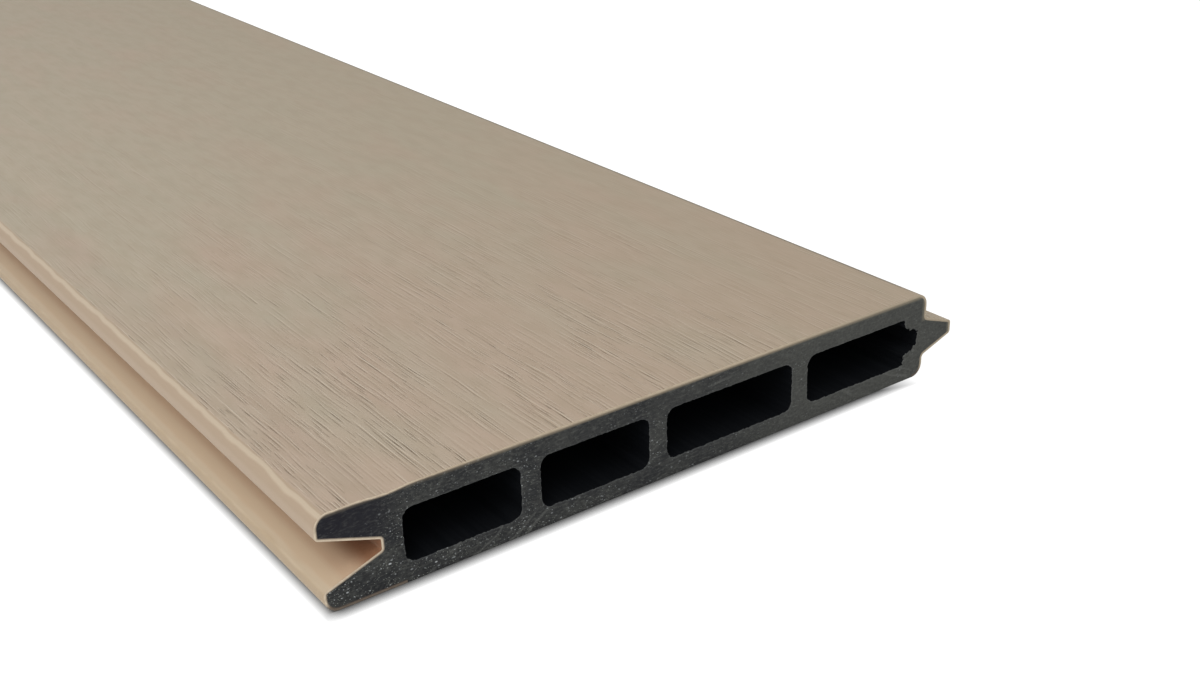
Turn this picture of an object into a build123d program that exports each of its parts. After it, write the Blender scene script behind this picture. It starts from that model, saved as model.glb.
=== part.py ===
# Composite capping board: a hollow extruded board with a groove along one long edge and a
# tongue along the other, lying on its plain side with the capped face up.
# Millimetres. X runs across the board from groove to tongue, Y along it and Z up. The origin
# is under the middle of the board, on the plane that it lies on.
import os

from build123d import *

# Board
length = 1830.0
thickness = 21.0
cap_thickness = 0.6
corner_radius = 3.0

# Groove, its mouth measured between the lips at the nose of the upper one
groove_depth = 12.9
groove_mouth = 11.4
groove_root = 2.4
root_radius = 0.5
arris_radius = 0.8

# Room for the tongue of the next board in the groove, and how far the lower lip and the lower
# shoulder stand back so that the joint closes at the face first
flank_clearance = 1.0
tip_clearance = 4.0
tongue_drop = 0.4
back_relief = 0.45
foot_radius = 1.0

# Walls round the chambers, the roof without its cap
root_wall = 4.7
shoulder_wall = 6.9
web = 4.65
floor_wall = 4.0
roof_wall = 4.6

# Chambers, from the groove to the tongue
chamber_widths = (26.3, 27.1, 35.3)
last_chamber_width = 30.9
chamber_radius = 2.3

# Nose of the last chamber, which reaches in behind the tongue
nose_reach = 4.3
nose_back = 7.2
nose_front = 3.9
nose_radius = 0.8

# How far the cap turns in under the board, from the lip's nose and from the shoulder
return_under_lip = 17.5
return_under_shoulder = 3.5

# Shallow sink mark in the face, above the thick wall behind the groove
sink_width = 9.0
sink_depth = 0.4
sink_inset = 1.7
sink_blend = 10.0

# Heights that follow from the sizes above: groove and body share one centre plane
core_thickness = thickness - cap_thickness
joint_height = core_thickness / 2
lip_height = joint_height - groove_mouth / 2
flank_slope = (groove_mouth - groove_root) / 2 / groove_depth
chamber_height = core_thickness - floor_wall - roof_wall
roof = floor_wall + chamber_height

# The tongue has the slope of the groove, and is less tall and less deep by its clearances
tongue_height = joint_height - tongue_drop
tongue_reach = groove_depth - tip_clearance
foot_rise = groove_mouth / 2 - flank_clearance
tip_rise = foot_rise - flank_slope * tongue_reach
relief_rise = flank_slope * back_relief

# Places across the board
hollow_width = sum(chamber_widths) + web * len(chamber_widths) + last_chamber_width
cover_width = groove_depth + root_wall + hollow_width + shoulder_wall
nose_x = -(cover_width + tongue_reach) / 2
root_x = nose_x + groove_depth
shoulder_x = nose_x + cover_width
tip_x = shoulder_x + tongue_reach
lower_nose_x = nose_x + back_relief
lower_shoulder_x = shoulder_x - back_relief
sink_x = root_x + sink_inset

# Corners of the section that are rounded, each group with its own radius
edges = [(nose_x, thickness), (lower_nose_x, 0), (lower_shoulder_x, 0), (shoulder_x, thickness)]
mouth = [
    (nose_x, joint_height + groove_mouth / 2),
    (lower_nose_x, joint_height - groove_mouth / 2 + relief_rise),
]
root = [(root_x, joint_height + groove_root / 2), (root_x, joint_height - groove_root / 2)]
foot = [
    (lower_shoulder_x, tongue_height - foot_rise - relief_rise),
    (shoulder_x, tongue_height + foot_rise),
]
tip = [(tip_x, tongue_height - tip_rise), (tip_x, tongue_height + tip_rise)]
edge_radius = min(corner_radius, lip_height - 1.5 * arris_radius)


def at(vertices, places):
    """The vertices that stand at these places in the section."""
    return [v for v in vertices for x, z in places if abs(v.X - x) + abs(v.Y - z) < 1e-4]


# Section of the whole board: lips and groove, plain underside, shoulders and tongue, closed by
# the face with its sink mark
with BuildSketch() as outside:
    with BuildLine():
        sink_start = (sink_x - sink_width / 2, thickness)
        sink_end = (sink_x + sink_width / 2, thickness)
        lips = [edges[0], mouth[0], *root, mouth[1], edges[1]]
        tongue = [edges[2], foot[0], *tip, foot[1], edges[3]]
        Polyline(sink_start, *lips, *tongue, sink_end)
        ThreePointArc(sink_end, (sink_x, thickness - sink_depth), sink_start)
    make_face()
    fillet(at(outside.vertices(), [sink_start, sink_end]), sink_blend)
    fillet(at(outside.vertices(), edges), edge_radius)
    fillet(at(outside.vertices(), mouth + tip), arris_radius)
    fillet(at(outside.vertices(), foot), foot_radius)
    fillet(at(outside.vertices(), root), root_radius)

# Section of the dark body: the board less its cap, and down to the underside again between
# the two edges of the cap that turn in under the board
with BuildSketch() as body:
    add(outside.sketch)
    offset(amount=-cap_thickness, mode=Mode.REPLACE)
    bare_start = nose_x + return_under_lip
    bare_end = shoulder_x - return_under_shoulder
    with Locations((bare_start, 0)):
        Rectangle(bare_end - bare_start, floor_wall / 2, align=(Align.MIN, Align.MIN))

# Chambers side by side, the last one with a nose that narrows towards the tongue
with BuildSketch() as chambers:
    corner = min(chamber_radius, 0.45 * chamber_height)
    left = root_x + root_wall
    for width in chamber_widths:
        with Locations((left + width / 2, floor_wall + chamber_height / 2)):
            RectangleRounded(width, chamber_height, corner)
        left += width + web
    wall_x = left + last_chamber_width
    web_side = [(left, roof), (left, floor_wall)]
    nose = [
        (wall_x, floor_wall),
        (wall_x, joint_height - nose_back / 2),
        (wall_x + nose_reach, joint_height - nose_front / 2),
        (wall_x + nose_reach, joint_height + nose_front / 2),
        (wall_x, joint_height + nose_back / 2),
        (wall_x, roof),
    ]
    Polygon(*web_side, *nose, align=None)
    fillet(at(chambers.vertices(), web_side), corner)
    fillet(at(chambers.vertices(), nose), nose_radius)

# The dark body: wood flour and recycled plastic, extruded round its chambers
with BuildPart() as core:
    with BuildSketch(Plane.XZ):
        add(body.sketch)
        add(chambers.sketch, mode=Mode.SUBTRACT)
    extrude(amount=length / 2, both=True)
core.part.label = "core"

# The cap: a coloured skin extruded with the body and bonded to it all over
with BuildPart() as cap:
    with BuildSketch(Plane.XZ):
        add(outside.sketch)
        add(body.sketch, mode=Mode.SUBTRACT)
    extrude(amount=length / 2, both=True)
cap.part.label = "cap"

os.makedirs("parts", exist_ok=True)
export_step(core.part, "parts/core.step")
export_step(cap.part, "parts/cap.step")
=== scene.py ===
"""Composite capping board, lying flat with its capped face up and its sawn near end towards the
camera. Sections are drawn in millimetres and each finished piece is brought to metres. X runs
across the board from its groove to its tongue, Y along it and Z up."""
import math

import bmesh
import bpy
import numpy as np
from mathutils import Matrix, Vector, noise


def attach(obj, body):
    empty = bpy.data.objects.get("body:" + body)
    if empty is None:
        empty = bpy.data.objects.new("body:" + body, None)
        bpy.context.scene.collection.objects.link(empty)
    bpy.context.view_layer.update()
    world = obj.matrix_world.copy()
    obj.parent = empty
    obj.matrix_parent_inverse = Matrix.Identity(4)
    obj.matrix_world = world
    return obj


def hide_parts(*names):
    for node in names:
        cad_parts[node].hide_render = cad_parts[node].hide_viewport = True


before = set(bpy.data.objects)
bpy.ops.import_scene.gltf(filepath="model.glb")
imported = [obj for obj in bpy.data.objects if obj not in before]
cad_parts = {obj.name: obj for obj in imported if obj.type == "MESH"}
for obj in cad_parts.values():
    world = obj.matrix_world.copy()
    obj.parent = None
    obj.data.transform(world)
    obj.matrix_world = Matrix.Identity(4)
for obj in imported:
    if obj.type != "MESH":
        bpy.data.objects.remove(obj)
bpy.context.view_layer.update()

# The dark core: wood flour and recycled polythene, mixed hot and pushed through a die that leaves
# four chambers along it. The die gives the walls a black skin, and inside the chambers they are
# painted near black as the shade there. The saw opens the ends to the grey mix with its pale
# flecks of flour. The cap is extruded on to it at the same time.
near = -915.0
far = 915.0
thickness = 21.0
cap_thickness = 0.6
nose = -83.475
root = -70.575
shoulder = 74.575
tip = 83.475
back_relief = 0.45
groove_heights = (15.9, 11.4, 9.0, 4.657)
tongue_heights = (14.5, 11.395, 8.205, 4.943)
bare_start = -65.975
bare_end = 71.075
corner_radius = 3.0
arris_run = 0.5685
foot_run = 0.7107
root_run = 0.355
sink_x = -68.875
sink_depth = 0.4
sink_reach = 6.4

# How near to a place counts as on it, how far apart the corners of the section stand round its
# edge and along the core's top, and the area that every face of the cap's sawn edge is under
slack = 0.01
edge_pitch = 1.6
core_pitch = 2.0
cap_face_limit = 100.0


def pick(kind, wanted):
    """In edit mode, selects the wanted verts, edges or faces and nothing else. Each is asked about
    by its middle, and by its length or area."""
    bpy.ops.mesh.select_mode(type=kind[:-1].upper())
    bpy.ops.mesh.select_all(action="DESELECT")
    mesh = bmesh.from_edit_mesh(bpy.context.edit_object.data)
    for part in getattr(mesh, kind):
        if kind == "verts":
            part.select_set(wanted(part.co, 0))
        elif kind == "edges":
            ends = [v.co for v in part.verts]
            part.select_set(wanted((ends[0] + ends[1]) / 2, part.calc_length()))
        else:
            part.select_set(wanted(part.calc_center_median(), part.calc_area()))
    mesh.select_flush_mode()
    bmesh.update_edit_mesh(bpy.context.edit_object.data)


def slice_at(axis, place):
    """Cuts what is selected along the plane that stands square to the axis at this place."""
    square = Vector([float(axis == other) for other in "XYZ"])
    bpy.ops.mesh.bisect(plane_co=square * place, plane_no=square, threshold=1e-5)


def shift(x=0.0, y=0.0, z=0.0, **more):
    """Moves what is selected."""
    bpy.ops.transform.translate(value=(x, y, z), **more)


def melt(wanted=lambda f, area: True):
    """Makes one face of the wanted faces."""
    pick("faces", wanted)
    bpy.ops.mesh.dissolve_faces()


def round_corners(run, steps, places):
    """Rounds the corners at these places in the section, each side losing the run."""
    pick("verts", lambda v, _: any(abs(v.x - x) + abs(v.z - z) < slack for x, z in places))
    bpy.ops.mesh.bevel(offset_type="OFFSET", offset=run, segments=steps, profile=0.5,
                       affect="VERTICES", clamp_overlap=False)


def divide(pitch, wanted=lambda e: True):
    """Divides the wanted edges of the section into lengths of about the pitch."""
    bpy.ops.mesh.select_mode(type="EDGE")
    while True:
        mesh = bmesh.from_edit_mesh(bpy.context.edit_object.data)
        long_edges = [e for e in mesh.edges if e.calc_length() > 1.5 * pitch
                      and wanted((e.verts[0].co + e.verts[1].co) / 2)]
        if not long_edges:
            return
        parts = round(long_edges[0].calc_length() / pitch)
        bpy.ops.mesh.select_all(action="DESELECT")
        long_edges[0].select_set(True)
        bmesh.update_edit_mesh(bpy.context.edit_object.data)
        bpy.ops.mesh.subdivide(number_cuts=(parts if parts <= 100 else math.ceil(parts / 100)) - 1)


def stand_plane(name, left, right, bottom, top):
    """Adds a plane across the board at its near end, facing outwards, and opens it for editing."""
    middle = ((left + right) / 2, near, (bottom + top) / 2)
    bpy.ops.object.select_all(action="DESELECT")
    bpy.ops.mesh.primitive_plane_add(size=1, location=middle, rotation=(math.pi / 2, 0, 0))
    piece = bpy.context.object
    piece.name = piece.data.name = name
    bpy.ops.object.transform_apply(location=True, rotation=True, scale=True)
    bpy.ops.object.mode_set(mode="EDIT")
    bpy.ops.mesh.select_all(action="SELECT")
    bpy.ops.transform.resize(value=(right - left, 1, top - bottom), center_override=middle)
    return piece


def draw_board_end(name, top_pitch):
    """The end of a plank made the whole board's end: its groove pushed in at one side, its tongue
    pulled out at the other, the corners rounded, the sink mark pressed in and the cap's edge inset.
    The corners of the inset's inner side keep 1 as their seam, and the others 0."""
    piece = stand_plane(name, nose, shoulder, 0, thickness)
    slice_at("X", 0)
    for height in groove_heights:
        pick("faces", lambda f, _: f.x < 0)
        slice_at("Z", height)
    for height in tongue_heights:
        pick("faces", lambda f, _: f.x > 0)
        slice_at("Z", height)
    for place in (bare_start, bare_end):
        pick("faces", lambda f, _: f.z < 3 and f.x * place > 0)
        slice_at("X", place)
    pick("verts", lambda v, _: abs(v.x - nose) < slack
         and groove_heights[2] - slack < v.z < groove_heights[1] + slack)
    shift(x=root - nose)
    pick("verts", lambda v, _: abs(v.x - nose) < slack and v.z < groove_heights[3] + slack)
    shift(x=back_relief)
    pick("verts", lambda v, _: abs(v.x - shoulder) < slack
         and tongue_heights[2] - slack < v.z < tongue_heights[1] + slack)
    shift(x=tip - shoulder)
    pick("verts", lambda v, _: abs(v.x - shoulder) < slack and v.z < tongue_heights[3] + slack)
    shift(x=-back_relief)
    melt()
    pick("verts", lambda v, _: abs(v.x) < slack)
    bpy.ops.mesh.dissolve_verts()

    low_nose, low_shoulder = nose + back_relief, shoulder - back_relief
    lips, tongue = groove_heights, tongue_heights
    round_corners(corner_radius, 10, [(nose, thickness), (low_nose, 0), (low_shoulder, 0),
                                      (shoulder, thickness)])
    round_corners(arris_run, 4, [(nose, lips[0]), (low_nose, lips[3]), (tip, tongue[1]),
                                 (tip, tongue[2])])
    round_corners(foot_run, 4, [(shoulder, tongue[0]), (low_shoulder, tongue[3])])
    round_corners(root_run, 3, [(root, lips[1]), (root, lips[2])])
    divide(top_pitch, lambda e: e.z > thickness - slack)
    divide(edge_pitch)
    pick("verts", lambda v, _: v.z > thickness - slack and abs(v.x - sink_x) < 0.51 * top_pitch)
    shift(z=-sink_depth, use_proportional_edit=True, proportional_edit_falloff="SMOOTH",
          proportional_size=sink_reach)
    pick("faces", lambda f, _: True)
    bpy.ops.mesh.inset(thickness=cap_thickness, use_even_offset=True)
    mesh = bmesh.from_edit_mesh(piece.data)
    seam = mesh.verts.layers.float.new("seam")
    for v in mesh.verts:
        v[seam] = float(v.select)
    bmesh.update_edit_mesh(piece.data)
    return piece


def is_bare(f):
    """Whether this part of the edge's inset is core, where the cap ends under the board."""
    return f.z < cap_thickness and bare_start < f.x < bare_end


def finish_piece():
    """Faces the piece outwards, brings it from millimetres to metres and smooths its curves."""
    pick("faces", lambda f, _: True)
    bpy.ops.mesh.normals_make_consistent(inside=False)
    bpy.ops.object.mode_set(mode="OBJECT")
    bpy.context.object.scale = (0.001, 0.001, 0.001)
    bpy.ops.object.transform_apply(location=False, rotation=False, scale=True)
    bpy.ops.object.shade_smooth_by_angle(angle=math.radians(32))


# Each chamber is drawn a rim wider than it is, and the inset leaves the rim round its own edge.
# The nose is measured from the middle of its height, at its back and at its front.
floor_wall = 4.0
roof = 15.8
chambers = ((-65.875, -39.575), (-34.925, -7.825), (-3.175, 32.125), (36.775, 67.675))
chamber_radius = 2.3
rim = 0.35
rim_chamfer = 0.12
nose_reach = 4.3
nose_middle = 10.2
nose_back = 3.6
nose_front = 1.95
nose_corner = 0.8
nose_corner_run = 0.6
rim_pitch = 0.42


def draw_chamber(left, right, with_nose):
    """A chamber's section with its rim. The last one has a nose that narrows to the tongue."""
    first, last = left - rim, right + rim
    bottom, top = floor_wall - rim, roof + rim
    piece = stand_plane("chamber", first, last, bottom, top)
    outer = chamber_radius + rim
    if with_nose:
        slope = (nose_back - nose_front) / nose_reach
        lift = rim * (math.hypot(1, slope) - slope)
        for height in (nose_middle - nose_back - lift, nose_middle + nose_back + lift):
            pick("faces", lambda f, _: True)
            slice_at("Z", height)
        pick("edges", lambda e, _: e.x > last - slack and abs(e.z - nose_middle) < 1)
        bpy.ops.mesh.extrude_region_move(TRANSFORM_OT_translate={"value": (nose_reach, 0, 0)})
        narrowed = (nose_front + lift) / (nose_back + lift)
        bpy.ops.transform.resize(value=(1, 1, narrowed),
                                 center_override=(last + nose_reach, near, nose_middle))
        melt()
        pick("verts", lambda v, _: v.x < first + slack and bottom + 1 < v.z < top - 1)
        bpy.ops.mesh.dissolve_verts()
        round_corners(outer, 8, [(first, bottom), (first, top)])
        round_corners(nose_corner, 3, [(last, bottom), (last, top)])
        pick("verts", lambda v, _: v.x > last + 1)
        bpy.ops.mesh.bevel(offset_type="OFFSET", offset=nose_corner_run, segments=3,
                           affect="VERTICES")
    else:
        round_corners(outer, 8, [(x, z) for x in (first, last) for z in (bottom, top)])
    divide(rim_pitch)
    pick("faces", lambda f, _: True)
    bpy.ops.mesh.inset(thickness=rim, use_even_offset=True)
    bpy.ops.object.mode_set(mode="OBJECT")
    return piece


def in_chambers(v):
    """Whether this place on the core is on a chamber or its rim."""
    across = chambers[0][0] - 1 < v.x < chambers[-1][1] + nose_reach + 1
    return across and floor_wall - 1 < v.z < roof + 1


core = draw_board_end("board_core", core_pitch)
pick("faces", lambda f, area: area < cap_face_limit and not is_bare(f))
bpy.ops.mesh.delete(type="FACE")
melt()
bpy.ops.mesh.delete(type="ONLY_FACE")
bpy.ops.object.mode_set(mode="OBJECT")
holes = [draw_chamber(left, right, left == chambers[-1][0]) for left, right in chambers]
for piece in [*holes, core]:
    piece.select_set(True)
bpy.context.view_layer.objects.active = core
bpy.ops.object.join()
bpy.ops.object.mode_set(mode="EDIT")
bpy.ops.mesh.select_mode(type="EDGE")
bpy.ops.mesh.select_all(action="DESELECT")
bpy.ops.mesh.select_non_manifold(use_multi_face=False, use_non_contiguous=False, use_verts=False)
bpy.ops.mesh.fill(use_beauty=True)
bpy.ops.mesh.select_mode(type="FACE")
bpy.ops.mesh.select_face_by_sides(number=4, type="GREATER", extend=False)
bpy.ops.mesh.delete(type="ONLY_FACE")

# The saw breaks the rims a little, so they lean in, and the run of the walls is extruded in steps
# that keep the broken edge to its first millimetres
bpy.ops.mesh.select_mode(type="EDGE")
bpy.ops.mesh.select_all(action="DESELECT")
bpy.ops.mesh.select_non_manifold(use_multi_face=False, use_non_contiguous=False, use_verts=False)
mesh = bmesh.from_edit_mesh(core.data)
for edge in mesh.edges:
    if edge.select and not all(in_chambers(v.co) for v in edge.verts):
        edge.select_set(False)
mesh.select_flush_mode()
bmesh.update_edit_mesh(core.data)
shift(y=rim_chamfer)
bpy.ops.mesh.select_all(action="SELECT")
end_steps = (0.5, 1.2, 2.3)
for step in (*end_steps, far - near - 2 * sum(end_steps), *reversed(end_steps)):
    bpy.ops.mesh.extrude_region_move(TRANSFORM_OT_translate={"value": (0, step, 0)})
pick("verts", lambda v, _: v.y > far + 0.5 * rim_chamfer)
shift(y=-2 * rim_chamfer)
finish_piece()


def corners_of(piece):
    """The piece's corners in millimetres, one row each."""
    corners = np.zeros(len(piece.data.vertices) * 3)
    piece.data.vertices.foreach_get("co", corners)
    return corners.reshape(-1, 3) * 1000


def put_corners(piece, corners):
    """Puts the piece's corners, in millimetres, back in its mesh."""
    piece.data.vertices.foreach_set("co", (corners / 1000).ravel())
    piece.data.update()


def mark(piece, name, values):
    """Keeps a value for each corner of the piece, for its material to read."""
    piece.data.attributes.new(name, "FLOAT", "POINT").data.foreach_set("value", values)


# The nose is torn most, then the first chamber's side by the groove, and the rims along the roof
# least. Each end and direction has a fixed layer of the noise, so each run tears them alike.
break_depth = 0.17
break_reach = 2.0
torn_nose = 2.4
torn_first_side = 1.7
torn_roof = 0.5
noise_layers = ((0, 25.0), (2, 25.5))
corners = corners_of(core)
for i, (x, y, z) in enumerate(corners):
    inward = min(y - near, far - y)
    if inward < break_reach and in_chambers(Vector((x, y, z))):
        rim_tear_and_highlight = 1.0
        if x > chambers[-1][1] - 1:
            rim_tear_and_highlight = torn_nose
        elif x < chambers[0][0] + 1:
            rim_tear_and_highlight = torn_first_side
        if z > roof - 0.5:
            rim_tear_and_highlight *= torn_roof
        reach = break_depth * rim_tear_and_highlight * (1 - inward / break_reach)
        for axis, layer in noise_layers:
            layer = math.copysign(layer, y)
            rough = noise.noise(Vector((x * 0.8, z * 0.8, layer)))
            fine = noise.noise(Vector((x * 2.9, z * 2.9, layer)))
            corners[i, axis] += (rough + 1.3 * fine) * reach
put_corners(core, corners)


def linear(hex_colour):
    """The linear colour of an sRGB hex value, with full alpha."""
    parts = [int(hex_colour[i:i + 2], 16) / 255 for i in (1, 3, 5)]
    return [c / 12.92 if c < 0.04045 else ((c + 0.055) / 1.055) ** 2.4 for c in parts] + [1]


def node(tree, kind, inputs=(), **settings):
    """Adds a node with its settings. An input, by name or place, takes a value, a hex colour, an
    output, or a node, which stands for the first of its outputs that is in use."""
    made = tree.nodes.new("ShaderNode" + kind)
    for name, setting in settings.items():
        setattr(made, name, setting)
    for name, value in dict(inputs).items():
        if isinstance(value, bpy.types.Node):
            value = next(output for output in value.outputs if output.enabled)
        if isinstance(value, bpy.types.NodeSocket):
            tree.links.new(value, made.inputs[name])
        else:
            made.inputs[name].default_value = linear(value) if isinstance(value, str) else value
    return made


def start_material(name):
    """Starts a material: the material, its empty tree, and the place on the piece."""
    material = bpy.data.materials.new(name)
    material.use_nodes = True
    material.node_tree.nodes.clear()
    return material, material.node_tree, node(material.node_tree, "TexCoord").outputs["Object"]


def size(across, along, up):
    """The scale that gives a pattern this size in millimetres along X, Y and Z."""
    return (1000 / across, 1000 / along, 1000 / up)


# Wood flour in black polythene, sawn: matt, the flour cut open as pale flecks, with faint arcs
# where the blade has dragged and a painted highlight on the rims where it has torn the edge of a
# chamber. It is blackest in the upper lip, and greyer and smoother towards the tongue.
sawn, tree, place = start_material("wood_polymer_sawn")
in_mm = node(tree, "Mapping", {0: place, "Scale": size(1, 1, 1)})
across, _, up = node(tree, "SeparateXYZ", {0: in_mm}).outputs
to_tongue = node(tree, "MapRange", {0: across, 1: 2, 2: 40}, interpolation_type="SMOOTHSTEP")
body = node(tree, "Mix", {0: to_tongue, 6: "#2F3031", 7: "#494A47"}, data_type="RGBA")
to_lip = node(tree, "MapRange", {0: across, 1: -62, 2: -74}, interpolation_type="SMOOTHSTEP")
lifted = node(tree, "MapRange", {0: up, 1: 8, 2: 15}, interpolation_type="SMOOTHSTEP")
upper_lip = node(tree, "Math", {0: to_lip, 1: lifted}, operation="MULTIPLY")
share = node(tree, "Math", {0: upper_lip, 1: 0.95}, operation="MULTIPLY")
body = node(tree, "Mix", {0: share, 6: body, 7: "#1F2126"}, data_type="RGBA")
where = node(tree, "Mapping", {0: place, "Scale": size(8, 8, 6)})
smear = node(tree, "TexNoise", {0: where, "Scale": 1, "Detail": 4})
share = node(tree, "MapRange", {0: smear, 1: 0.4, 2: 0.66, 4: 0.4})
body = node(tree, "Mix", {0: share, 6: body, 7: "#52534F"}, data_type="RGBA")
where = node(tree, "Mapping", {0: place, "Scale": size(0.55, 0.55, 0.55)})
grit = node(tree, "TexNoise", {0: where, "Scale": 1, "Detail": 3})
rough_side = node(tree, "MapRange", {0: across, 1: -60, 2: 10, 3: 0.5, 4: 0.24})
share = node(tree, "MapRange", {0: grit, 1: 0.42, 2: 0.62, 4: rough_side})
body = node(tree, "Mix", {0: share, 6: body, 7: "#19191B"}, data_type="RGBA")
where = node(tree, "Mapping", {0: place, "Scale": size(1.5, 0.6, 0.5)})
shreds = node(tree, "TexNoise", {0: where, "Scale": 1, "Detail": 3})
share = node(tree, "MapRange", {0: shreds, 1: 0.5, 2: 0.68, 4: 0.42})
body = node(tree, "Mix", {0: share, 6: body, 7: "#5E5F5B"}, data_type="RGBA")

# The upper lip is black over its grit and shreds as well
share = node(tree, "Math", {0: upper_lip, 1: 0.5}, operation="MULTIPLY")
body = node(tree, "Mix", {0: share, 6: body, 7: "#1D1B23"}, data_type="RGBA")

# The blade's arcs run round its shaft, which stood below the board
from_shaft = node(tree, "VectorMath", {0: in_mm, 1: (22, near, -95)}, operation="SUBTRACT")
radius = node(tree, "VectorMath", {0: from_shaft}, operation="LENGTH").outputs["Value"]
where = node(tree, "Mapping", {0: place, "Scale": size(14, 14, 14)})
waver = node(tree, "TexNoise", {0: where, "Scale": 1, "Detail": 2})
radius = node(tree, "Math", {0: waver, 1: 6, 2: radius}, operation="MULTIPLY_ADD")
pass_of_blade = node(tree, "Math", {0: radius, 1: 1.3}, operation="DIVIDE")
drag = node(tree, "TexNoise", {"W": pass_of_blade, "Scale": 1, "Detail": 3}, noise_dimensions="1D")
drag = node(tree, "MapRange", {0: drag, 1: 0.55, 2: 0.7})
where = node(tree, "Mapping", {0: place, "Scale": size(13, 13, 9)})
touched = node(tree, "TexNoise", {0: where, "Scale": 1, "Detail": 2})
touched = node(tree, "MapRange", {0: touched, 1: 0.5, 2: 0.62})
arcs = node(tree, "Math", {0: drag, 1: touched}, operation="MULTIPLY")
share = node(tree, "Math", {0: arcs, 1: 0.28}, operation="MULTIPLY")
body = node(tree, "Mix", {0: share, 6: body, 7: "#757672"}, data_type="RGBA")

# The flecks: thickest in the lower lip and the wall behind the groove, few in the upper lip. Real
# flecks are 0.1 to 0.4 mm, and the finest would not show, so all are drawn about twice as large.
where = node(tree, "Mapping", {0: place, "Scale": size(7, 7, 5)})
spread = node(tree, "TexNoise", {0: where, "Scale": 1, "Detail": 3})
spread = node(tree, "MapRange", {0: spread, 1: 0.36, 2: 0.6, 3: 0.2})
fade = node(tree, "MapRange", {0: across, 1: -50, 2: 50, 3: 1.0, 4: 0.2})
spread = node(tree, "Math", {0: spread, 1: fade}, operation="MULTIPLY")
few = node(tree, "MapRange", {0: upper_lip, 3: 1.0, 4: 0.12})
spread = node(tree, "Math", {0: spread, 1: few}, operation="MULTIPLY")
low = node(tree, "MapRange", {0: up, 1: 9, 2: 5, 3: 0, 4: 1.3})
thick = node(tree, "Math", {0: to_lip, 1: low, 2: 1.25}, operation="MULTIPLY_ADD")
spread = node(tree, "Math", {0: spread, 1: thick}, operation="MULTIPLY")
wall = node(tree, "MapRange", {0: across, 1: -72, 2: -69, 3: 1.0, 4: 1.9})
past_wall = node(tree, "MapRange", {0: across, 1: -60, 2: -65, 3: 0.55, 4: 1.0})
wall = node(tree, "Math", {0: wall, 1: past_wall}, operation="MULTIPLY")
in_roof = node(tree, "MapRange", {0: up, 1: 15, 2: 17.5, 3: 1.0, 4: 0.5})
wall = node(tree, "Math", {0: wall, 1: in_roof}, operation="MULTIPLY")
spread = node(tree, "Math", {0: spread, 1: wall}, operation="MULTIPLY")
for grain, least, colour in ((0.52, 0.32, "#82867F"), (0.78, 0.5, "#9B9FA0"), (1.4, 0.74, "#B4B8B9")):
    where = node(tree, "Mapping", {0: place, "Rotation": (0, grain, 0),
                                   "Scale": size(grain, grain, 0.6 * grain)})
    cells = node(tree, "TexVoronoi", {0: where, "Scale": 1})
    fleck = node(tree, "MapRange", {0: cells, 1: 0.26, 2: 0.1})
    shade = node(tree, "SeparateColor", {0: cells.outputs["Color"]})
    chosen = node(tree, "MapRange", {0: shade, 1: least, 2: least + 0.3})
    fleck = node(tree, "Math", {0: fleck, 1: chosen}, operation="MULTIPLY")
    share = node(tree, "Math", {0: fleck, 1: spread}, operation="MULTIPLY", use_clamp=True)
    body = node(tree, "Mix", {0: share, 6: body, 7: colour}, data_type="RGBA")
# A painted highlight on the leaning rims of the chambers
rim_tear_and_highlight = node(tree, "Attribute", attribute_name="rim").outputs["Fac"]
share = node(tree, "Math", {0: rim_tear_and_highlight, 1: 0.22}, operation="MULTIPLY")
body = node(tree, "Mix", {0: share, 6: body, 7: "#6E7070"}, data_type="RGBA")

# The saw has smeared a little of the cap's polymer down over the core along the top, most towards
# the tongue, and dragged more of it round the shoulder and the tongue's tip
thicker = node(tree, "MapRange", {0: across, 1: -60, 2: -25, 3: 0.25, 4: 0.95})
smeared = node(tree, "MapRange", {0: up, 1: 19.8, 2: 20.4})
share = node(tree, "Math", {0: smeared, 1: thicker}, operation="MULTIPLY")
body = node(tree, "Mix", {0: share, 6: body, 7: "#988B77"}, data_type="RGBA")
top_edge = node(tree, "MapRange", {0: up, 1: 19.5, 2: 20.2})
to_corner = node(tree, "MapRange", {0: across, 1: 30, 2: 68})
top_edge = node(tree, "Math", {0: top_edge, 1: to_corner}, operation="MULTIPLY")
side_edge = node(tree, "MapRange", {0: across, 1: shoulder - 1.5, 2: shoulder - 0.8})
above_foot = node(tree, "MapRange", {0: up, 1: 13.6, 2: 14.4})
side_edge = node(tree, "Math", {0: side_edge, 1: above_foot}, operation="MULTIPLY")
tip_edge = node(tree, "MapRange", {0: across, 1: tip - 1.4, 2: tip - 0.8})
dragged = node(tree, "Math", {0: top_edge, 1: side_edge}, operation="MAXIMUM")
dragged = node(tree, "Math", {0: dragged, 1: tip_edge}, operation="MAXIMUM")
share = node(tree, "Math", {0: dragged, 1: 0.6}, operation="MULTIPLY")
body = node(tree, "Mix", {0: share, 6: body, 7: "#7D7768"}, data_type="RGBA")

# Pits where the saw has pulled flour out, and the arcs standing a little proud
where = node(tree, "Mapping", {0: place, "Scale": size(0.6, 0.6, 0.6)})
pits = node(tree, "TexNoise", {0: where, "Scale": 1, "Detail": 2})
height = node(tree, "Math", {0: arcs, 1: 0.6, 2: pits}, operation="MULTIPLY_ADD")
relief = node(tree, "Bump", {"Height": height, "Strength": 0.7, "Distance": 0.00008})
shader = node(tree, "BsdfPrincipled", {"Base Color": body, "Normal": relief, "Roughness": 0.8,
                                       "IOR": 1.45, "Specular IOR Level": 0.18})
node(tree, "OutputMaterial", {0: shader})

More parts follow.
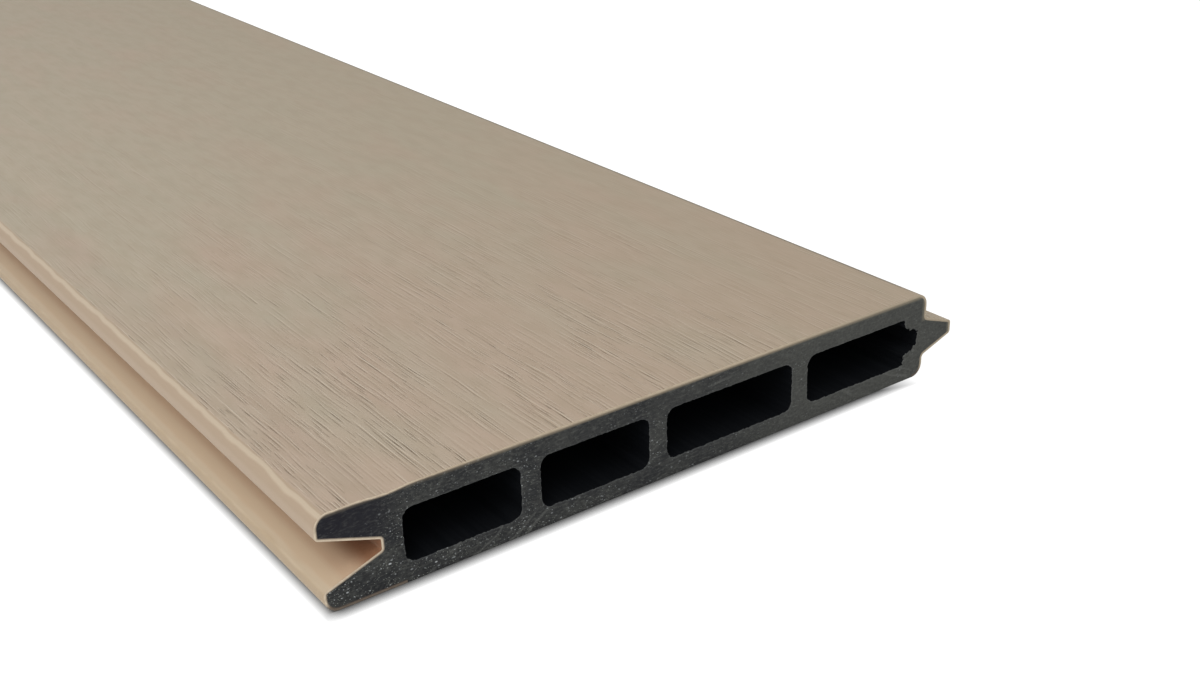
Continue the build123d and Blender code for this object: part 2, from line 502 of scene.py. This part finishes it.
# The same mix with the skin that the die gives it: black, with a dull shine and fine lines along it
drawn, tree, place = start_material("wood_polymer_die_drawn")
where = node(tree, "Mapping", {0: place, "Scale": size(1.4, 160, 1.4)})
lines = node(tree, "TexNoise", {0: where, "Scale": 1, "Detail": 4})
share = node(tree, "MapRange", {0: lines, 1: 0.35, 2: 0.65})
body = node(tree, "Mix", {0: share, 6: "#1C1D20", 7: "#383A3B"}, data_type="RGBA")
where = node(tree, "Mapping", {0: place, "Scale": size(12, 60, 12)})
bloom = node(tree, "TexNoise", {0: where, "Scale": 1, "Detail": 2})
share = node(tree, "MapRange", {0: bloom, 1: 0.45, 2: 0.7, 4: 0.4})
body = node(tree, "Mix", {0: share, 6: body, 7: "#3A3B3B"}, data_type="RGBA")
relief = node(tree, "Bump", {"Height": lines, "Strength": 0.5, "Distance": 0.00005})
shader = node(tree, "BsdfPrincipled", {"Base Color": body, "Normal": relief, "Roughness": 0.5,
                                       "IOR": 1.5, "Specular IOR Level": 0.4})
node(tree, "OutputMaterial", {0: shader})

# The walls inside the chambers: painted as good as black, as the shade deep in them
chamber_shade, tree, place = start_material("wood_polymer_chamber_painted_shade")
where = node(tree, "Mapping", {0: place, "Scale": size(0.9, 120, 0.9)})
lines = node(tree, "TexNoise", {0: where, "Scale": 1, "Detail": 2})
share = node(tree, "MapRange", {0: lines, 1: 0.4, 2: 0.7})
body = node(tree, "Mix", {0: share, 6: "#0B0D10", 7: "#111316"}, data_type="RGBA")
shader = node(tree, "BsdfPrincipled", {"Base Color": body, "Roughness": 0.7, "IOR": 1.45,
                                       "Specular IOR Level": 0.08})
node(tree, "OutputMaterial", {0: shader})

for material in (sawn, drawn, chamber_shade):
    core.data.materials.append(material)
for face in core.data.polygons:
    if abs(face.normal.y) < 0.7:
        face.material_index = 2 if in_chambers(face.center * 1000) else 1

# The inner corners of the leaning rims, where the sawn material paints a paler highlight
rim_highlight_corners = (abs(corners[:, 1]) < far - 0.5 * rim_chamfer) & (abs(corners[:, 1]) > far - 0.4)
mark(core, "rim", rim_highlight_corners.astype(float))
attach(core, "root")
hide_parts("core")

# The cap: a skin of coloured polymer 0.6 mm thick that is extruded with the core and wraps the
# face, the groove, the tongue and the first of the underside. A roller presses fine wood grain
# into the face while it is warm, and the lips, the groove and the tongue stay plain.
face_left = nose + corner_radius
face_right = shoulder - corner_radius
face_pitch = 0.36
cap = draw_board_end("board_cap", face_pitch)
pick("faces", lambda f, area: area > cap_face_limit or is_bare(f))
bpy.ops.mesh.delete(type="FACE")
pick("faces", lambda f, _: True)
bpy.ops.mesh.extrude_region_move(TRANSFORM_OT_translate={"value": (0, far - near, 0)})


def on_face(v):
    """Whether this is on the flat of the face, above the inner side of the cap."""
    across = face_left - slack < v.x < face_right + slack
    return across and v.z > thickness - cap_thickness + 0.1


# Rows across the face, close together by the near cut where the furrows show most
rows = ((near, -815, 76), (-815, -555, 58), (-555, 735, 66), (735, far, 20))
for start, end, count in rows[:-1]:
    pick("faces", lambda f, _: on_face(f) and near + 1 < f.y < far - 1)
    slice_at("Y", end)
for start, end, count in rows:
    pick("edges", lambda e, length: on_face(e) and start < e.y < end and length > 5)
    bpy.ops.mesh.subdivide(number_cuts=count - 1)
finish_piece()

# The roller presses hardest where its pattern joins, once a turn, and the near end is cut there.
# It presses less towards the tongue. In the mesh it leaves shallow furrows that gather in bands,
# and the fine lines are in the material.
roller_turn = 610.0
press_reach = 105.0
least_press = 0.2
lost_to_right = 0.6
roll_off = 0.8
furrows = 5000
furrow_reach = 1.5
chip_depth = 0.22
grain = np.random.default_rng(21)
corners = corners_of(cap)
on_top = np.array([on_face(Vector(v)) for v in corners])
rolled = np.clip(np.minimum(corners[:, 0] - face_left, face_right - corners[:, 0]) / roll_off, 0, 1)
turn_place = np.abs((corners[:, 1] - near + roller_turn / 2) % roller_turn - roller_turn / 2)
press = least_press + (1 - least_press) * np.exp(-(turn_place / press_reach) ** 2)
press *= 1 - lost_to_right * np.clip(corners[:, 0] / 60, 0, 1)
order = np.flatnonzero(on_top)
order = order[np.argsort(corners[order, 0])]
lefts = corners[order, 0]
depth = np.zeros(len(corners))
for _ in range(furrows):
    x, y = grain.uniform(face_left, face_right), grain.uniform(near - 20, far)
    length, width = grain.lognormal(3.2, 0.5), grain.uniform(0.25, 0.5)
    deep, wander, phase = grain.uniform(0.015, 0.045), grain.uniform(0, 0.3), grain.uniform(0, 6.3)
    crowd = noise.noise(Vector((x / 7, y / 70, 1.5))) + 0.4 * noise.noise(Vector((x / 2, y / 30, 4)))
    if crowd < grain.uniform(-0.35, 0.35):
        continue
    close = order[slice(*np.searchsorted(lefts, (x - furrow_reach, x + furrow_reach)))]
    run = (corners[close, 1] - y) / length
    close, run = close[(run > 0) & (run < 1)], run[(run > 0) & (run < 1)]
    aside = corners[close, 0] - x - wander * np.sin(4 * run + phase)
    cut = deep * np.exp(-(aside / width) ** 2) * np.minimum(1, 8 * run * (1 - run))
    depth[close] = np.maximum(depth[close], cut)
corners[:, 2] -= depth * press * rolled

# The saw chips the face a little along both cut ends
for i in np.flatnonzero(on_top & (np.abs(corners[:, 1]) > far - slack)):
    x, y = corners[i, :2]
    chip = max(0, noise.noise(Vector((x * 0.9, y, 2))) + 0.6 * noise.noise(Vector((x * 2.6, y, 5))))
    corners[i, 2] -= chip_depth * chip * rolled[i]
put_corners(cap, corners)
mark(cap, "press", press)

# Polymer coloured through, embossed: matt, browner by the cut and greener further back, streaked
# and mottled, with fine straight lines pressed in that catch the light on one side, each painted
# dark in its groove as shade and pale on the burr beside it as a highlight. The lips, groove and
# tongue have the die's own smooth skin, with a bead where the roller's edge ran, painted pale along
# its crest as a highlight, and painted shade in the groove, brownest at its root.
bead_left = nose + 0.9
bead_right = nose + 1.95
embossed, tree, place = start_material("capstock_polymer_embossed")
in_mm = node(tree, "Mapping", {0: place, "Scale": size(1, 1, 1)})
across, along, up = node(tree, "SeparateXYZ", {0: in_mm}).outputs
press_there = node(tree, "Attribute", attribute_name="press").outputs["Fac"]
where = node(tree, "Mapping", {0: place, "Scale": size(15, 38, 15)})
drift = node(tree, "TexNoise", {0: where, "Scale": 1, "Detail": 2})
from_cut = node(tree, "MapRange", {0: along, 1: near + 30, 2: near + 200, 3: -1.2, 4: -0.45})
share = node(tree, "Math", {0: drift, 1: 2.8, 2: from_cut}, operation="MULTIPLY_ADD", use_clamp=True)
tint = node(tree, "Mix", {0: share, 6: "#B19D8A", 7: "#ACA18D"}, data_type="RGBA")
where = node(tree, "Mapping", {0: place, "Scale": size(5, 45, 5)})
streaks = node(tree, "TexNoise", {0: where, "Scale": 1, "Detail": 3})
share = node(tree, "MapRange", {0: streaks, 1: 0.35, 2: 0.65, 4: 0.3})
tint = node(tree, "Mix", {0: share, 6: tint, 7: "#B6A592"}, data_type="RGBA")
where = node(tree, "Mapping", {0: place, "Scale": size(3.5, 11, 3.5)})
mottles = node(tree, "TexNoise", {0: where, "Scale": 1, "Detail": 3})
share = node(tree, "MapRange", {0: mottles, 1: 0.4, 2: 0.65, 4: 0.22})
tint = node(tree, "Mix", {0: share, 6: tint, 7: "#98886F"}, data_type="RGBA")
to_right = node(tree, "MapRange", {0: across, 1: -60, 2: 70, 4: 0.4})
tint = node(tree, "Mix", {0: to_right, 6: tint, 7: "#9D8E77"}, data_type="RGBA")


def lines_pressed(tree, where, pitch, length, width, least):
    """Straight lines along the board, about so far apart and so long, of which only those with a
    shade above the least are there. Each is a groove, down to -1, with a burr beside it, up to 1."""
    cell = node(tree, "Mapping", {0: where, "Scale": size(pitch, length, 1000)})
    cells = node(tree, "TexVoronoi", {0: cell, "Scale": 1})
    off = node(tree, "VectorMath", {0: cell, 1: cells.outputs["Position"]}, operation="SUBTRACT")
    x, y, _ = node(tree, "SeparateXYZ", {0: off}).outputs
    turn = node(tree, "MapRange", {0: x, 1: -width / pitch, 2: width / pitch, 3: -math.pi,
                                   4: math.pi})
    profile = node(tree, "Math", {0: turn}, operation="SINE")
    y = node(tree, "Math", {0: y}, operation="ABSOLUTE")
    within = node(tree, "MapRange", {0: y, 1: 0.5, 2: 0.15}, interpolation_type="SMOOTHSTEP")
    line = node(tree, "Math", {0: profile, 1: within}, operation="MULTIPLY")
    shade = node(tree, "SeparateColor", {0: cells.outputs["Color"]})
    chosen = node(tree, "MapRange", {0: shade, 1: least, 2: least + 0.3})
    return node(tree, "Math", {0: line, 1: chosen}, operation="MULTIPLY")


# The lines waver by less than a millimetre, and lie thickest in bands. Real ones are 0.1 to 0.2 mm
# wide, too fine to show, so they are drawn about twice as wide and further apart to match.
where = node(tree, "Mapping", {0: place, "Scale": size(9, 30, 9)})
waver = node(tree, "TexNoise", {0: where, "Scale": 1, "Detail": 1}).outputs["Color"]
bent = node(tree, "VectorMath", {0: waver, 1: (0.0017, 0, 0), 2: place}, operation="MULTIPLY_ADD")
where = node(tree, "Mapping", {0: place, "Scale": size(6, 32, 6)})
bands = node(tree, "TexNoise", {0: where, "Scale": 1, "Detail": 3})
bands = node(tree, "MapRange", {0: bands, 1: 0.38, 2: 0.62, 3: 0.5, 4: 1.6})
bands = node(tree, "Math", {0: bands, 1: press_there}, operation="MULTIPLY")
from_left = node(tree, "MapRange", {0: across, 1: bead_right, 2: bead_right + 0.4})
to_shoulder = node(tree, "MapRange", {0: across, 1: face_right + 1.2, 2: face_right + 0.8})
on_face_there = node(tree, "Math", {0: from_left, 1: to_shoulder}, operation="MULTIPLY")
lifted = node(tree, "MapRange", {0: up, 1: 19, 2: 19.2})
on_face_there = node(tree, "Math", {0: on_face_there, 1: lifted}, operation="MULTIPLY")
bands = node(tree, "Math", {0: bands, 1: on_face_there}, operation="MULTIPLY")

# Heavy, middling and light lines
lines = 0.0
for pitch, length, width, least in ((1.7, 34, 0.4, 0.35), (1.2, 16, 0.32, 0.35), (0.9, 8, 0.28, 0.4)):
    pressed = lines_pressed(tree, bent, pitch, length, width, least)
    lines = node(tree, "Math", {0: lines, 1: pressed})
lines = node(tree, "Math", {0: lines, 1: bands}, operation="MULTIPLY")
# Painted shade in each line's groove, then a painted highlight on the burr beside it
share = node(tree, "Math", {0: lines, 1: -0.38}, operation="MULTIPLY", use_clamp=True)
tint = node(tree, "Mix", {0: share, 6: tint, 7: "#76644F"}, data_type="RGBA")
share = node(tree, "Math", {0: lines, 1: 0.4}, operation="MULTIPLY", use_clamp=True)
tint = node(tree, "Mix", {0: share, 6: tint, 7: "#D0C2AE"}, data_type="RGBA")

# The smooth skin off the face: a little paler down the upper lip, warmer on the lower one and
# warmest in the groove, whose flank is painted paler as light and darker and browner just under
# the upper lip as the shade there
side = node(tree, "MapRange", {0: up, 1: 19, 2: 18})
skin = node(tree, "Mix", {0: side, 6: "#AA9680", 7: "#B29E88"}, data_type="RGBA")
lower = node(tree, "MapRange", {0: up, 1: 12, 2: 9})
skin = node(tree, "Mix", {0: lower, 6: skin, 7: "#B29E83"}, data_type="RGBA")
# The groove's flank: painted paler as light, and darker and browner as shade just under the upper lip
in_groove = node(tree, "MapRange", {0: across, 1: nose + 0.8, 2: nose + 2})
shade_under_lip = node(tree, "MapRange", {0: across, 1: nose + 4, 2: nose + 5.2})
flank_light_and_shade = node(tree, "Mix", {0: shade_under_lip, 6: "#BFA98E", 7: "#BBA085"}, data_type="RGBA")
share = node(tree, "Math", {0: in_groove, 1: lower}, operation="MULTIPLY")
skin = node(tree, "Mix", {0: share, 6: skin, 7: flank_light_and_shade}, data_type="RGBA")
tint = node(tree, "Mix", {0: on_face_there, 6: skin, 7: tint}, data_type="RGBA")

# The bead and its painted highlight sway a little. The lower lip is painted pale along its foot, as
# light in place of its shade, and along its arris as a highlight, and the arris by the shoulder,
# turned away from the light, is painted dark as shade, but less by the cut.
where = node(tree, "Mapping", {0: place, "Scale": size(1000, 13, 1000)})
swing = node(tree, "TexNoise", {0: where, "Scale": 1, "Detail": 2})
sway = node(tree, "Math", {0: swing, 1: 1.6, 2: across}, operation="MULTIPLY_ADD")
to_bead = node(tree, "MapRange", {0: sway, 1: bead_left + 0.7, 2: bead_left + 1.05})
past_bead = node(tree, "MapRange", {0: sway, 1: bead_right + 0.8, 2: bead_right + 0.55})
crest_bead_and_highlight = node(tree, "Math", {0: to_bead, 1: past_bead}, operation="MULTIPLY")
crest_bead_and_highlight = node(tree, "Math", {0: crest_bead_and_highlight, 1: lifted}, operation="MULTIPLY")
# Painted highlight along the crest of the upper lip, on the bead
share = node(tree, "Math", {0: crest_bead_and_highlight, 1: 0.6}, operation="MULTIPLY")
tint = node(tree, "Mix", {0: share, 6: tint, 7: "#C6B7A0"}, data_type="RGBA")
# Painted light on the lower lip's foot, which faces down into shade, and a painted highlight along
# its arris
outer = node(tree, "MapRange", {0: across, 1: nose + 2.4, 2: nose + 1.8})
foot_painted_light = node(tree, "MapRange", {0: up, 1: 3.0, 2: 1.0})
rise = node(tree, "Math", {0: swing, 1: 1.8, 2: up}, operation="MULTIPLY_ADD")
arris_highlight = node(tree, "MapRange", {0: rise, 1: 5.25, 2: 5.75, 4: 0.5})
below = node(tree, "MapRange", {0: rise, 1: 6.45, 2: 6.05})
arris_highlight = node(tree, "Math", {0: arris_highlight, 1: below}, operation="MULTIPLY")
share = node(tree, "Math", {0: foot_painted_light, 1: arris_highlight}, operation="MAXIMUM")
share = node(tree, "Math", {0: share, 1: outer}, operation="MULTIPLY")
tint = node(tree, "Mix", {0: share, 6: tint, 7: "#C6B69E"}, data_type="RGBA")
# Painted shade on the arris by the shoulder, which is turned away from the light, less by the cut
shoulder_arris_shade = node(tree, "MapRange", {0: across, 1: face_right, 2: face_right + 0.5, 4: 0.85})
short_of_tongue = node(tree, "MapRange", {0: across, 1: shoulder + 0.3, 2: shoulder + 0.1})
shoulder_arris_shade = node(tree, "Math", {0: shoulder_arris_shade, 1: short_of_tongue}, operation="MULTIPLY")
past_cut = node(tree, "MapRange", {0: along, 1: near + 2, 2: near + 9, 3: 0.25, 4: 1.0})
share = node(tree, "Math", {0: shoulder_arris_shade, 1: past_cut}, operation="MULTIPLY")
tint = node(tree, "Mix", {0: share, 6: tint, 7: "#6F6554"}, data_type="RGBA")
tongue_skin = node(tree, "MapRange", {0: across, 1: shoulder - 1, 2: shoulder, 4: 0.6})
tint = node(tree, "Mix", {0: tongue_skin, 6: tint, 7: "#A0947B"}, data_type="RGBA")
# Painted shade deep in the groove, brownest at its root
inwards = node(tree, "MapRange", {0: across, 1: nose + 6.5, 2: root - 2.2, 4: 0.88},
               interpolation_type="SMOOTHSTEP")
below = node(tree, "MapRange", {0: up, 1: 16.6, 2: 16.5})
above = node(tree, "MapRange", {0: up, 1: 3.0, 2: 3.1})
left_of_root = node(tree, "MapRange", {0: across, 1: root + 1.5, 2: root + 1.4})
inside = node(tree, "Math", {0: inwards, 1: below}, operation="MULTIPLY")
inside = node(tree, "Math", {0: inside, 1: above}, operation="MULTIPLY")
inside = node(tree, "Math", {0: inside, 1: left_of_root}, operation="MULTIPLY")
tint = node(tree, "Mix", {0: inside, 6: tint, 7: "#805539"}, data_type="RGBA")

# Heights in millimetres: the lines, the beads of polymer that the roller lifts between them, the
# bead along its edge, and a fine unevenness everywhere
where = node(tree, "Mapping", {0: place, "Scale": size(0.5, 0.6, 2)})
dots = node(tree, "TexNoise", {0: where, "Scale": 1, "Detail": 1})
dots = node(tree, "MapRange", {0: dots, 1: 0.5, 2: 0.65})
dots = node(tree, "Math", {0: dots, 1: bands}, operation="MULTIPLY")
where = node(tree, "Mapping", {0: place, "Scale": size(0.35, 0.9, 0.35)})
height = node(tree, "TexNoise", {0: where, "Scale": 1, "Detail": 2})
height = node(tree, "Math", {0: height, 1: 0.012}, operation="MULTIPLY")
height = node(tree, "Math", {0: lines, 1: 0.05, 2: height}, operation="MULTIPLY_ADD")
height = node(tree, "Math", {0: dots, 1: 0.02, 2: height}, operation="MULTIPLY_ADD")
height = node(tree, "Math", {0: crest_bead_and_highlight, 1: 0.04, 2: height}, operation="MULTIPLY_ADD")
relief = node(tree, "Bump", {"Height": height, "Strength": 1.0, "Distance": 0.001})
shader = node(tree, "BsdfPrincipled", {"Base Color": tint, "Normal": relief, "Roughness": 0.62,
                                       "IOR": 1.49, "Specular IOR Level": 0.35})
node(tree, "OutputMaterial", {0: shader})

# The skin's sawn edge: pale and scuffed at the lip, tan past it and greyer towards the tongue. It
# is brown along its joint with the core, and painted dark as shade where it turns in under the board.
edge, tree, place = start_material("capstock_polymer_sawn")
where = node(tree, "Mapping", {0: place, "Scale": size(1.2, 1.2, 1.2)})
scuffs = node(tree, "TexNoise", {0: where, "Scale": 1, "Detail": 2})
share = node(tree, "MapRange", {0: scuffs, 1: 0.35, 2: 0.65})
tint = node(tree, "Mix", {0: share, 6: "#C6B59E", 7: "#D8C8B0"}, data_type="RGBA")
in_mm = node(tree, "Mapping", {0: place, "Scale": size(1, 1, 1)})
across, _, up = node(tree, "SeparateXYZ", {0: in_mm}).outputs
seam = node(tree, "Attribute", attribute_name="seam").outputs["Fac"]
joint = node(tree, "MapRange", {0: seam, 1: 0.35, 2: 0.95}, interpolation_type="SMOOTHSTEP")
worn = node(tree, "MapRange", {0: across, 1: 20, 2: 70, 4: 0.9})
tint = node(tree, "Mix", {0: worn, 6: tint, 7: "#A19886"}, data_type="RGBA")
past_lip = node(tree, "MapRange", {0: across, 1: -72, 2: -60, 4: 0.6})
tint = node(tree, "Mix", {0: past_lip, 6: tint, 7: "#B5A58D"}, data_type="RGBA")
clean = node(tree, "MapRange", {0: across, 1: -60, 2: -25, 3: 0.8, 4: 0.25})
joint = node(tree, "Math", {0: joint, 1: clean}, operation="MULTIPLY")
tint = node(tree, "Mix", {0: joint, 6: tint, 7: "#473E39"}, data_type="RGBA")
# Painted shade along the bottom of the sawn edge, where the cap turns in under the board
shade_under_board = node(tree, "MapRange", {0: up, 1: 2.6, 2: 0.8, 4: 0.85}, interpolation_type="SMOOTHSTEP")
tint = node(tree, "Mix", {0: shade_under_board, 6: tint, 7: "#463C36"}, data_type="RGBA")
shader = node(tree, "BsdfPrincipled", {"Base Color": tint, "Roughness": 0.75, "IOR": 1.49,
                                       "Specular IOR Level": 0.25})
node(tree, "OutputMaterial", {0: shader})
cap.data.materials.append(embossed)
cap.data.materials.append(edge)
for face in cap.data.polygons:
    if abs(face.normal.y) > 0.7:
        face.material_index = 1
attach(cap, "root")
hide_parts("cap")

# The floor: plain and pale, lit with the board and keeping its shadow, and white to the camera.
# Near the board its white glow is dimmed by ambient occlusion as a painted shadow, deepest at the
# board's sawn end and narrow along its sides, and faded out by the groove and by the tongue.
floor_width = 12.0
floor_drop = 0.0001
bpy.ops.object.select_all(action="DESELECT")
bpy.ops.mesh.primitive_plane_add(size=floor_width, location=(0, 0, -floor_drop))
floor = bpy.context.object
floor.name = "floor"


def seen_straight(tree):
    """1 for what the camera sees straight, in a shine or through something clear, and 0 for what
    only lights the board."""
    rays = node(tree, "LightPath").outputs
    seen = node(tree, "Math", {0: rays["Is Camera Ray"], 1: rays["Is Glossy Ray"]},
                operation="MAXIMUM")
    return node(tree, "Math", {0: seen, 1: rays["Is Transmission Ray"]}, operation="MAXIMUM")


paper, tree, place = start_material("white_paper")
seen = seen_straight(tree)
matt = node(tree, "BsdfDiffuse", {"Color": "#F2F2F2"})
dim = node(tree, "BsdfDiffuse", {"Color": "#606060"})
towards = node(tree, "CombineXYZ", {0: 0.1, 1: 0.7, 2: 0.7})
# Painted contact shadow: the glow to the camera follows the ambient occlusion near the board
close = node(tree, "AmbientOcclusion", {"Distance": 0.0033, "Normal": towards}, samples=16)
strength = node(tree, "MapRange", {0: close.outputs["AO"], 1: 0.3, 2: 1.0})
in_mm = node(tree, "Mapping", {0: place, "Scale": size(1, 1, 1)})
across = node(tree, "SeparateXYZ", {0: in_mm})
# The painted shadow is faded out beside the groove's nose and by the tongue
shadow_fade_groove_side = node(tree, "MapRange", {0: across, 1: -81.5, 2: -84.0})
strength = node(tree, "Math", {0: strength, 1: shadow_fade_groove_side}, operation="MAXIMUM")
shadow_fade_tongue_side = node(tree, "MapRange", {0: across, 1: 60, 2: 71})
strength = node(tree, "Math", {0: strength, 1: shadow_fade_tongue_side}, operation="MAXIMUM")
glow = node(tree, "Emission", {"Color": "#FFFFFF", "Strength": strength})
white = node(tree, "AddShader", {0: dim, 1: glow})
both = node(tree, "MixShader", {0: seen, 1: matt, 2: white})
node(tree, "OutputMaterial", {0: both})
floor.data.materials.append(paper)

# Soft studio light: a pale room all round, and a wide screen above each end on the groove's side
world = bpy.data.worlds.new("studio")
bpy.context.scene.world = world
world.use_nodes = True
tree = world.node_tree
tree.nodes.clear()
seen = seen_straight(tree)
strength = node(tree, "MapRange", {0: seen, 3: 0.55, 4: 1.0})
room = node(tree, "Background", {"Color": "#FFFFFF", "Strength": strength})
node(tree, "OutputWorld", {0: room})


def add_screen(name, width, height, place, aim, power):
    """A soft screen of light that faces the aim."""
    lamp = bpy.data.lights.new(name, "AREA")
    lamp.shape = "RECTANGLE"
    lamp.size, lamp.size_y, lamp.energy = width, height, power
    screen = bpy.data.objects.new(name, lamp)
    bpy.context.scene.collection.objects.link(screen)
    screen.location = place
    screen.rotation_euler = (Vector(aim) - Vector(place)).to_track_quat("-Z", "Y").to_euler()


add_screen("key", 0.8, 0.8, (-0.65, -1.3, 0.85), (0, -0.85, 0), 7.3)
add_screen("far_fill", 0.8, 0.8, (-0.5, 1.3, 0.85), (0, 0.7, 0), 3.5)

# The camera stands where the photograph was taken from
camera_data = bpy.data.cameras.new("camera")
camera = bpy.data.objects.new("camera", camera_data)
bpy.context.scene.collection.objects.link(camera)
camera_data.sensor_width = 36
camera_data.lens = 44.2
right = Vector((0.80514, -0.59254, -0.02557))
up = Vector((0.26796, 0.32497, 0.90697))
ahead = Vector((0.52910, 0.73709, -0.42042))
place = Matrix((right, up, -ahead)).transposed().to_4x4()
place.translation = Vector((-0.1715, -1.1264, 0.1578))
camera.matrix_world = place
bpy.context.scene.camera = camera

bpy.context.scene.view_settings.view_transform = "Standard"
